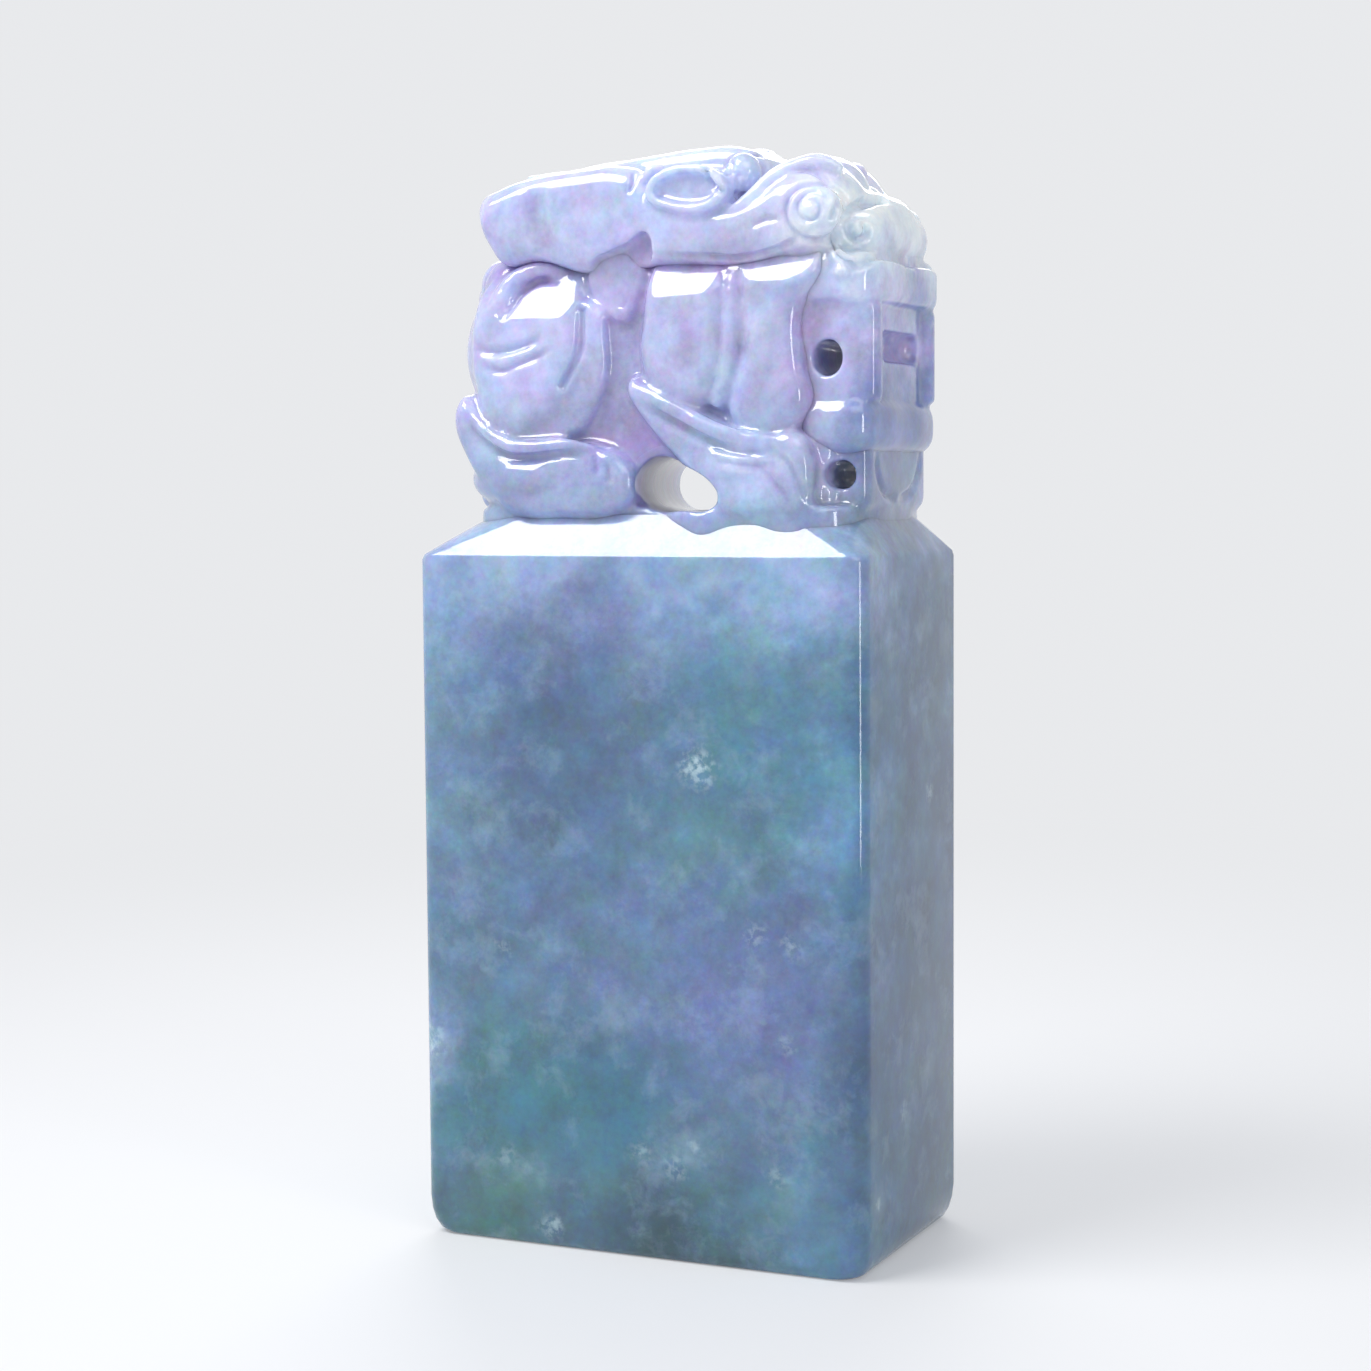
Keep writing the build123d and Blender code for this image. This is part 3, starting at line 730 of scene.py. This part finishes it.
# Tones and patterns of the stone, with patches of painted shade and painted light
jade = dict(
    # Share of the height, tone
    heights=[
        (0.0, "50798f"), (0.1, "577f98"), (0.3, "5f80a2"), (0.5, "6589a6"), (0.58, "7c9abf"),
        (0.64, "8fa7cb"), (0.69, "9ba8cb"), (0.74, "a8b2d6"), (0.8, "b7bae0"), (0.88, "b5b8de"),
        (0.95, "bcc1e6"), (1.0, "cdd7ef")],
    topHeight=60,
    patchCore=0.95,
    # Centre and reach in mm, tone, strength
    patches=[
        ((-6, -7, 36), (7, 9, 3.5), "9fb0d4", 0.7),
        ((-2, -7, 36), (3.5, 9, 6), "7284b0", 0.6),
        ((11, -5, 36), (6, 9, 4.5), "a3bce2", 0.8),
        ((-4.5, -7, 27.5), (9, 10, 12), "4b678c", 0.85),
        ((-7, -7, 33), (5, 9, 3.5), "62779d", 0.5),
        ((7, -7, 27.5), (9, 10, 10), "4f849c", 0.9),
        ((5, -7, 22.5), (5, 9, 3.5), "5a8f96", 0.45),
        ((13, -7, 24), (5, 9, 10), "78b2d8", 0.85),
        ((-12, -7, 24), (5, 9, 8), "7499b5", 0.7),
        ((6, -7, 14), (12, 10, 9), "697cae", 0.95),
        ((-7, -7, 7.5), (9, 10, 7), "36778a", 0.95),
        ((-1, -7, 9), (6, 8, 6.5), "2f7590", 0.9),
        ((-12.6, -7, 11), (2.5, 6, 4), "8ea2c5", 0.7),
        ((-9.5, -7, 1.5), (7, 8, 5), "427474", 0.75),
        ((2, -7, 0.5), (9, 9, 6), "2b5162", 0.95),
        ((12, -6, 3), (3.5, 8, 6), "6595b8", 0.8),
        # Painted shade on the block's front end, the right face, which the key lamp lights less
        ((14.3, 3, 19), (4.6, 24, 50), "164a72", 1.0),
        ((-14, 3, 18), (4, 14, 24), "66a0a8", 0.6),
        ((-2, 9, 22), (14, 4, 16), "6c8db5", 0.6),
        # The nose's pale stone, whitened further as painted light
        ((12.5, 0, 56), (5, 10, 4.5), "e9f3ff", 1.0),
        ((9, -7, 57), (5, 4, 5), "dde6fa", 0.5),
        ((9, 7, 57), (5, 4, 5), "dde6fa", 0.5),
        # Painted shade on the front face of the mouth
        ((13.5, 0, 47), (3.4, 9, 8), "566db2", 0.9),
        ((12.3, -4.5, 52.7), (4.5, 4, 2.4), "c8d8f2", 0.8),
        ((12.3, 4.5, 52.7), (4.5, 4, 2.4), "c8d8f2", 0.8),
        # Painted light on both sides of the nose, which the lamps reach less
        ((11.6, -5, 55.3), (4.6, 4.6, 3.6), "edf6ff", 1.0),
        ((11.6, 5, 55.3), (4.6, 4.6, 3.6), "edf6ff", 1.0),
        ((3, -7, 58), (4, 4, 3), "c6d2f0", 0.6),
        ((6, -7, 43), (7, 4, 4), "b9cae8", 0.6),
        # Painted shade: a dark purple inside the hollow under the belly
        ((2.3, 0, 41.8), (6.5, 8.5, 4.2), "5d5279", 0.95),
        ((13.5, 0, 42), (4, 8, 4), "6f80a4", 0.7)],
    # Pale crumbs: centre, reach, strength
    crumbs=[
        ((3.8, -7.5, 26.9), 1.6, 1.0), ((-5.2, -7.5, 1.2), 1.1, 0.8), ((-12.6, -7.5, 10.9), 1.5, 0.9),
        ((9.2, -7.5, 17.6), 1.0, 0.5), ((7.1, -7.5, 18.2), 1.1, 0.5), ((-8.0, -7.5, 16.5), 0.8, 0.4),
        ((0.3, -7.5, 5.8), 1.0, 0.4), ((2.4, -7.5, 5.2), 1.3, 0.45), ((8.3, -7.5, 5.3), 1.0, 0.4),
        ((-8.1, -7.5, 4.8), 1.2, 0.35), ((8.7, -7.5, 12.3), 0.8, 0.45), ((13.2, 2.5, 25), 1.0, 0.5),
        ((13.2, -1.5, 8), 1.1, 0.4), ((-6.5, 7.5, 24), 1.2, 0.8), ((5.0, 7.5, 12), 1.3, 0.5),
        ((-13.2, 1.0, 15), 1.1, 0.5)],
    # Painted shade in the recesses between the legs and under the mane, a deeper lavender
    recess="a597cc",
    haze="a9c3d6",
    fleckTone="c6dfe6",
    dullHollow=((2.3, 0, 41.9), (5.5, 30, 3.6), 0.9),
    # Where the painted shade of the recesses, a deeper lavender, lies, from none to full, in mm
    recessDepth=(6.7, 5.4),
    recessRise=(40.5, 42),
    recessCeiling=(55.5, 54),
    recessBehind=(10.3, 9.2),
    recessAhead=(-11.3, -9.6),
    # Drift of a pattern: noise scale, reach in mm, detail
    drifts=dict(broad=(150.0, 6.5, 2.0), fine=(700.0, 3.2, 5.0), vein=(500.0, 2.5, 3.0),
                wisp=(420.0, 2.0, 3.0), fleck=(1500.0, 0.9, 3.0), crumb=(1300.0, 1.1, 4.0)),
    driftRoughness=0.6,
    veins=dict(Scale=380.0, Detail=5.0, Roughness=0.55),
    veinSlant=52,
    veinStretch=(1.0, 1.0, 3.0),
    veinShade=(0.88, 1.14),
    mottle=dict(Scale=620.0, Detail=9.0, Roughness=0.68),
    mottleShade=(0.84, 1.17),
    shadeSpan=(0.3, 0.7),
    hues=dict(Scale=430.0, Detail=6.0, Roughness=0.62),
    hueShare=0.38,
    wisps=dict(Scale=310.0, Detail=9.0, Roughness=0.66),
    wispRange=(0.52, 0.8, 0.0, 0.5),
    grain=dict(Scale=2600.0, Detail=4.0, Roughness=0.7),
    grainShare=0.3,
    # Flecks: cell scale, then from, to, least and most of the halo, the core and the choice of cells
    cellScale=210.0,
    halo=(0.3, 0.0, 0.0, 0.3),
    core=(0.1, 0.04, 0.0, 0.7),
    chosen=(0.45, 1.0, 0.0, 1.0),
    crumbNoise=dict(Scale=2300.0, Detail=3.0, Roughness=0.6),
    crumbRange=(0.44, 0.62, 0.05, 0.7),
    # What both polished finishes share
    ior=1.66,
    scatterTint=(0.8, 0.95, 1.0),
    coatRoughness=0.03,
    ripple=0.12,
    rippleDepth=0.06,
)
nodeGrid = dict(columns=12, width=220, height=330)


def tone(hexCode):
    parts = [int(hexCode[i:i + 2], 16) / 255 for i in (0, 2, 4)]
    return tuple(p / 12.92 if p <= 0.04045 else ((p + 0.055) / 1.055) ** 2.4 for p in parts) + (1,)


def feed(tree, socket, source):
    if isinstance(source, bpy.types.NodeSocket):
        tree.links.new(source, socket)
    elif source is not None:
        socket.default_value = source


# A node with settings and inputs by name. Feeds go to its open inputs in turn, and None leaves one alone.
def addNode(tree, kind, *feeds, **values):
    node = tree.nodes.new(kind)
    row, column = divmod(len(tree.nodes), nodeGrid["columns"])
    node.location = (nodeGrid["width"] * column, -nodeGrid["height"] * row)
    for key, value in values.items():
        if key in node.inputs:
            feed(tree, node.inputs[key], value)
        else:
            setattr(node, key, value)
    for socket, source in zip([socket for socket in node.inputs if socket.enabled], feeds):
        feed(tree, socket, source)
    return node


def calculate(tree, operation, *terms):
    return addNode(tree, "ShaderNodeMath", *terms, operation=operation).outputs[0]


def product(tree, first, *others):
    for other in others:
        first = calculate(tree, "MULTIPLY", first, other)
    return first


def ranged(tree, value, low, high, least=0.0, most=1.0):
    return addNode(tree, "ShaderNodeMapRange", value, low, high, least, most).outputs["Result"]


def mixTone(tree, mask, base, over, mode="MIX"):
    shade = tone(over) if isinstance(over, str) else over
    mix = addNode(tree, "ShaderNodeMix", mask, base, shade, data_type="RGBA", blend_type=mode)
    return mix.outputs["Result"]


# 1 at a place, fading to 0 at its reach
def softPatchGroup():
    group = bpy.data.node_groups.new("softPatch", "ShaderNodeTree")
    for name in ("Vector", "Place", "Reach"):
        group.interface.new_socket(name, in_out="INPUT", socket_type="NodeSocketVector")
    group.interface.new_socket("Strength", in_out="INPUT", socket_type="NodeSocketFloat")
    group.interface.new_socket("Mask", in_out="OUTPUT", socket_type="NodeSocketFloat")
    vector, place, reach, strength = addNode(group, "NodeGroupInput").outputs[:4]
    mapping = addNode(group, "ShaderNodeMapping", vector, place, None, reach, vector_type="TEXTURE")
    ball = addNode(group, "ShaderNodeTexGradient", mapping.outputs[0], gradient_type="SPHERICAL")
    soft = addNode(group, "ShaderNodeMapRange", ball.outputs["Fac"], 0.0, jade["patchCore"],
                   interpolation_type="SMOOTHSTEP")
    addNode(group, "NodeGroupOutput", product(group, soft.outputs["Result"], strength))
    return group


softPatch = softPatchGroup()


def patchMask(tree, vector, centre, reach, strength):
    place = [c * mm for c in centre]
    extent = [r * mm for r in reach]
    patch = addNode(tree, "ShaderNodeGroup", vector, place, extent, strength, node_tree=softPatch)
    return patch.outputs["Mask"]


# Moves a pattern's base about, so that its edges wander
def drift(tree, place, kind, base):
    scale, reach, detail = jade["drifts"][kind]
    noise = addNode(tree, "ShaderNodeTexNoise", place, Scale=scale, Detail=detail,
                    Roughness=jade["driftRoughness"])
    centred = addNode(tree, "ShaderNodeVectorMath", noise.outputs["Color"], (0.5, 0.5, 0.5),
                      operation="SUBTRACT")
    scaled = addNode(tree, "ShaderNodeVectorMath", centred.outputs[0], reach * mm, operation="SCALE")
    return addNode(tree, "ShaderNodeVectorMath", scaled.outputs[0], base, operation="ADD").outputs[0]


# Height runs from teal at the foot to lavender in the carving, under soft patches, some of them painted shade
# and painted light
def groundTones(tree, place):
    moved = drift(tree, place, "fine", drift(tree, place, "broad", place))
    height = addNode(tree, "ShaderNodeSeparateXYZ", moved).outputs["Z"]
    ramp = addNode(tree, "ShaderNodeValToRGB", ranged(tree, height, 0, jade["topHeight"] * mm))
    stops = ramp.color_ramp.elements
    while len(stops) < len(jade["heights"]):
        stops.new(0.5)
    for stop, (share, code) in zip(stops, jade["heights"]):
        stop.position = share
        stop.color = tone(code)
    color = ramp.outputs["Color"]
    for centre, reach, code, strength in jade["patches"]:
        color = mixTone(tree, patchMask(tree, moved, centre, reach, strength), color, code)
    return color


# Recesses between the legs and under the mane, which get a deeper lavender as painted shade: how far in a
# place lies, and whether it is one of them
def recessMasks(tree, place, amount):
    sides = addNode(tree, "ShaderNodeSeparateXYZ", place).outputs
    inward = ranged(tree, calculate(tree, "ABSOLUTE", sides["Y"]), *(d * mm for d in jade["recessDepth"]))
    limits = (("Z", "recessRise"), ("Z", "recessCeiling"), ("X", "recessBehind"), ("X", "recessAhead"))
    masks = [ranged(tree, sides[axis], *(d * mm for d in jade[limit])) for axis, limit in limits]
    return inward, product(tree, inward, *masks, amount)


# Slanting veins and a fine mottle darken and lighten the tones, and hues vary
def veinTones(tree, place, color):
    slant = addNode(tree, "ShaderNodeMapping", drift(tree, place, "vein", place), vector_type="TEXTURE")
    slant.inputs["Rotation"].default_value = (0, math.radians(jade["veinSlant"]), 0)
    slant.inputs["Scale"].default_value = jade["veinStretch"]
    veins = addNode(tree, "ShaderNodeTexNoise", slant.outputs[0], **jade["veins"]).outputs["Fac"]
    mottle = addNode(tree, "ShaderNodeTexNoise", place, **jade["mottle"]).outputs["Fac"]
    for value, shade in ((veins, jade["veinShade"]), (mottle, jade["mottleShade"])):
        strength = ranged(tree, value, *jade["shadeSpan"], *shade)
        color = addNode(tree, "ShaderNodeVectorMath", color, strength, operation="SCALE").outputs[0]
    hues = addNode(tree, "ShaderNodeTexNoise", place, **jade["hues"]).outputs["Color"]
    return mixTone(tree, jade["hueShare"], color, hues, "OVERLAY"), mottle


# Clusters of pale flecks: a halo and a core in some of the cells
def fleckMask(tree, place, amount):
    drifted = drift(tree, place, "fleck", place)
    cells = addNode(tree, "ShaderNodeTexVoronoi", drifted, Scale=jade["cellScale"], Randomness=1.0).outputs
    halo = ranged(tree, cells["Distance"], *jade["halo"])
    core = ranged(tree, cells["Distance"], *jade["core"])
    choice = addNode(tree, "ShaderNodeSeparateColor", cells["Color"]).outputs["Red"]
    return product(tree, calculate(tree, "ADD", halo, core), ranged(tree, choice, *jade["chosen"]), amount)


# Pale crumbs at their places, broken up by a noise
def crumbMask(tree, place):
    noise = addNode(tree, "ShaderNodeTexNoise", place, **jade["crumbNoise"]).outputs["Fac"]
    blurred = drift(tree, place, "crumb", place)
    largest = 0.0
    for centre, reach, strength in jade["crumbs"]:
        largest = calculate(tree, "MAXIMUM", largest, patchMask(tree, blurred, centre, [reach] * 3, strength))
    return product(tree, largest, ranged(tree, noise, *jade["crumbRange"]))


def jadeCloudGroup():
    group = bpy.data.node_groups.new("jadeClouds", "ShaderNodeTree")
    for name in ("Fleck Amount", "Recess Shade Amount", "Polish"):
        group.interface.new_socket(name, in_out="INPUT", socket_type="NodeSocketFloat")
    group.interface.new_socket("Color", in_out="OUTPUT", socket_type="NodeSocketColor")
    group.interface.new_socket("Cloud", in_out="OUTPUT", socket_type="NodeSocketFloat")
    group.interface.new_socket("Roughness", in_out="OUTPUT", socket_type="NodeSocketFloat")
    fleckAmount, recessAmount, polish = addNode(group, "NodeGroupInput").outputs[:3]
    place = addNode(group, "ShaderNodeTexCoord").outputs["Object"]
    # The recesses take a deeper lavender as painted shade
    inward, recess = recessMasks(group, place, recessAmount)
    color = mixTone(group, recess, groundTones(group, place), jade["recess"])
    color, mottle = veinTones(group, place, color)
    wisps = addNode(group, "ShaderNodeTexNoise", drift(group, place, "wisp", place), **jade["wisps"])
    haze = product(group, ranged(group, wisps.outputs["Fac"], *jade["wispRange"]), fleckAmount)
    color = mixTone(group, haze, color, jade["haze"])
    grain = addNode(group, "ShaderNodeTexNoise", place, **jade["grain"]).outputs["Color"]
    color = mixTone(group, jade["grainShare"], color, grain, "OVERLAY")
    color = mixTone(group, fleckMask(group, place, fleckAmount), color, jade["fleckTone"])
    color = mixTone(group, crumbMask(group, place), color, jade["fleckTone"])
    # The wall of the hollow is left duller than the outside
    duller = calculate(group, "MULTIPLY_ADD", patchMask(group, place, *jade["dullHollow"]), inward, polish)
    addNode(group, "NodeGroupOutput", color, mottle, duller)
    return group


jadeClouds = jadeCloudGroup()


def jadeMaterial(name, flecks, recess, roughness, scatter, scatterDepth, coat):
    material = bpy.data.materials.new(name)
    material.use_nodes = True
    tree = material.node_tree
    clouds = addNode(tree, "ShaderNodeGroup", flecks, recess, roughness, node_tree=jadeClouds).outputs
    ripple = addNode(tree, "ShaderNodeBump", Strength=jade["ripple"], Distance=jade["rippleDepth"] * mm,
                     Height=clouds["Cloud"])
    shader = tree.nodes["Principled BSDF"]
    for key, source in (("Base Color", clouds["Color"]), ("Roughness", clouds["Roughness"]),
                        ("Normal", ripple.outputs[0]), ("IOR", jade["ior"]),
                        ("Subsurface Weight", scatter), ("Subsurface Radius", jade["scatterTint"]),
                        ("Subsurface Scale", scatterDepth * mm), ("Coat Weight", coat),
                        ("Coat Roughness", jade["coatRoughness"])):
        feed(tree, shader.inputs[key], source)
    return material


# The block gets no painted shade in its recesses, the carving gets it at 0.8
blockJade = jadeMaterial("blockJade", flecks=0.8, recess=0.0, roughness=0.09,
                         scatter=0.85, scatterDepth=1.2, coat=0.15)
carvedJade = jadeMaterial("carvedJade", flecks=0.25, recess=0.8, roughness=0.08,
                          scatter=0.9, scatterDepth=0.9, coat=0.5)
# Edges sharper than the angle stay crisp
finishes = ((jadeBlock, blockJade, 40), (body, carvedJade, 80), (head, carvedJade, 80))
for piece, material, crispAngle in finishes:
    piece.data.materials.clear()
    piece.data.materials.append(material)
    selectOnly(piece)
    bpy.ops.object.shade_smooth_by_angle(angle=math.radians(crispAngle))
print("stage: materials made")

# Floor, lights and camera
studio = dict(
    background=(0.81, 0.82, 0.84, 1),
    fill=(0.88, 0.90, 0.93, 1),
    fillStrength=0.42,
    floorSize=3,
    floorTone="eeeff2",
    floorRoughness=0.6,
    fadeFrom=20,
    fadeTo=190,
    fadeLeast=0.35,
    lamps=[
        dict(name="keyBox", place=(-80, -100, 196), aim=(0, 0, 42), size=(120, 108), power=0.345),
        dict(name="rightBox", place=(125, -100, 190), aim=(0, 0, 42), size=(150, 120), power=0.08),
        dict(name="edgeStrip", place=(220, -98, 40), aim=(0, 0, 30), size=(30, 150), power=0.09),
        dict(name="backBox", place=(-70, 180, 170), aim=(0, 0, 35), size=(150, 130), power=0.2),
    ],
    camera=dict(place=(62.276, -136.300, 41.560), aim=(-0.242, -0.123, 30.68), roll=-0.41, lens=70.4,
                sensor=36, nearest=10),
)


# 1 for what the camera sees by itself, through glass or in a gloss
def sightMask(tree):
    path = addNode(tree, "ShaderNodeLightPath").outputs
    clear = calculate(tree, "MAXIMUM", path["Is Camera Ray"], path["Is Transmission Ray"])
    return calculate(tree, "MAXIMUM", clear, path["Is Glossy Ray"])


# The floor keeps its shadow near the seal and fades into the background
def floorMaterial():
    material = bpy.data.materials.new("floorCard")
    material.use_nodes = True
    tree = material.node_tree
    shader = tree.nodes["Principled BSDF"]
    shader.inputs["Base Color"].default_value = tone(studio["floorTone"])
    shader.inputs["Roughness"].default_value = studio["floorRoughness"]
    place = addNode(tree, "ShaderNodeTexCoord").outputs["Object"]
    away = addNode(tree, "ShaderNodeVectorMath", place, operation="LENGTH").outputs["Value"]
    fade = addNode(tree, "ShaderNodeMapRange", away, studio["fadeFrom"] * mm, studio["fadeTo"] * mm,
                   studio["fadeLeast"], interpolation_type="SMOOTHSTEP").outputs["Result"]
    card = addNode(tree, "ShaderNodeEmission", Color=studio["background"])
    mix = addNode(tree, "ShaderNodeMixShader", product(tree, fade, sightMask(tree)), shader.outputs[0],
                  card.outputs[0])
    tree.links.new(mix.outputs[0], tree.nodes["Material Output"].inputs["Surface"])
    return material


bpy.ops.object.select_all(action="DESELECT")
bpy.ops.mesh.primitive_plane_add(size=studio["floorSize"])
floor = activePiece()
floor.name = "floor"
floor.data.materials.append(floorMaterial())


def makeWorld():
    world = bpy.data.worlds.new("studio")
    world.use_nodes = True
    tree = world.node_tree
    sky = tree.nodes["Background"]
    sky.inputs["Color"].default_value = studio["fill"]
    sky.inputs["Strength"].default_value = studio["fillStrength"]
    backdrop = addNode(tree, "ShaderNodeBackground", Color=studio["background"])
    mix = addNode(tree, "ShaderNodeMixShader", sightMask(tree), sky.outputs[0], backdrop.outputs[0])
    tree.links.new(mix.outputs[0], tree.nodes["World Output"].inputs["Surface"])
    return world


def addLamp(name, place, aim, size, power):
    bpy.ops.object.select_all(action="DESELECT")
    bpy.ops.object.light_add(type="AREA", location=[c * mm for c in place])
    lamp = activePiece()
    lamp.name = name
    lamp.data.shape = "RECTANGLE"
    lamp.data.size, lamp.data.size_y = (s * mm for s in size)
    lamp.data.energy = power
    heading = (Vector(aim) - Vector(place)).normalized()
    lamp.rotation_euler = heading.to_track_quat("-Z", "Y").to_euler()


# Looks from a place to its aim, rolled a little as in the photograph
def addCamera(place, aim, roll, lens, sensor, nearest):
    bpy.ops.object.select_all(action="DESELECT")
    bpy.ops.object.camera_add(location=[c * mm for c in place])
    camera = activePiece()
    back = (Vector(place) - Vector(aim)).normalized()
    level = Vector((0, 0, 1)).cross(back).normalized()
    turn = math.radians(roll)
    right = level * math.cos(turn) + back.cross(level) * math.sin(turn)
    camera.rotation_euler = Matrix((right, back.cross(right), back)).transposed().to_euler()
    camera.data.lens = lens
    camera.data.sensor_width = sensor
    camera.data.clip_start = nearest * mm
    return camera


bpy.context.scene.world = makeWorld()
for settings in studio["lamps"]:
    addLamp(**settings)
bpy.context.scene.camera = addCamera(**studio["camera"])
bpy.context.scene.view_settings.view_transform = "Standard"
print("stage: studio set")
